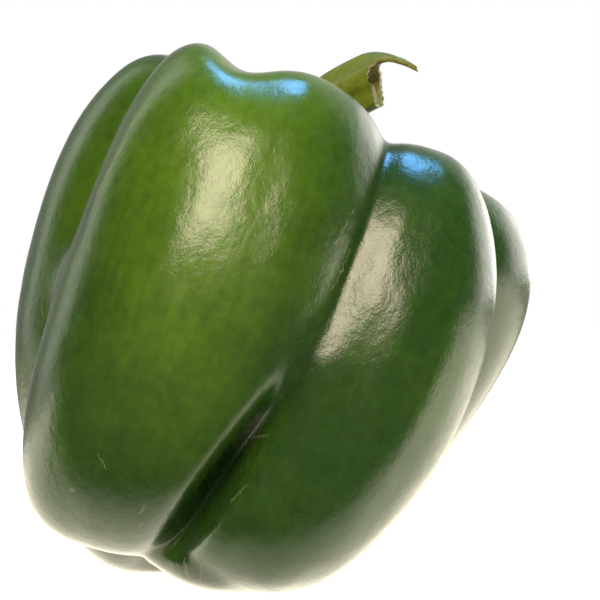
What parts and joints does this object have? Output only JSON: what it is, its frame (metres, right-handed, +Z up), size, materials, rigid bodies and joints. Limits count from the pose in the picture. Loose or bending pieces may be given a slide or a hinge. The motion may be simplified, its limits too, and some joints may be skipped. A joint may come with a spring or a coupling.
{
  "type": "bell pepper",
  "caption": "Fresh green bell pepper: a blocky lobed fruit with a star-shaped calyx and a short bent stem torn open at its end, leaning as it stands on its lobes.",
  "frame": {"origin": "on the floor, at the bottom centre of the pepper's bounding box as it stands", "axes": "+Z up, away from the floor it stands on; the fruit's own axis leans 19.5 degrees from +Z towards +X; +Y is the shorter way across the fruit, and the front, with the widest lobe, faces -Y"},
  "size_m": [0.1012, 0.0816, 0.1008],
  "materials": {
    "green_skin": "smooth waxy skin, glossy, deep green with a yellower green on the front lobe",
    "calyx_green": "matte green plant tissue",
    "stem_green": "satin green stalk with a pale, fibrous torn end"
  },
  "bodies": {
    "root": {"fruit_body": "green_skin", "calyx": "calyx_green", "stem": "stem_green"}
  },
  "joints": []
}
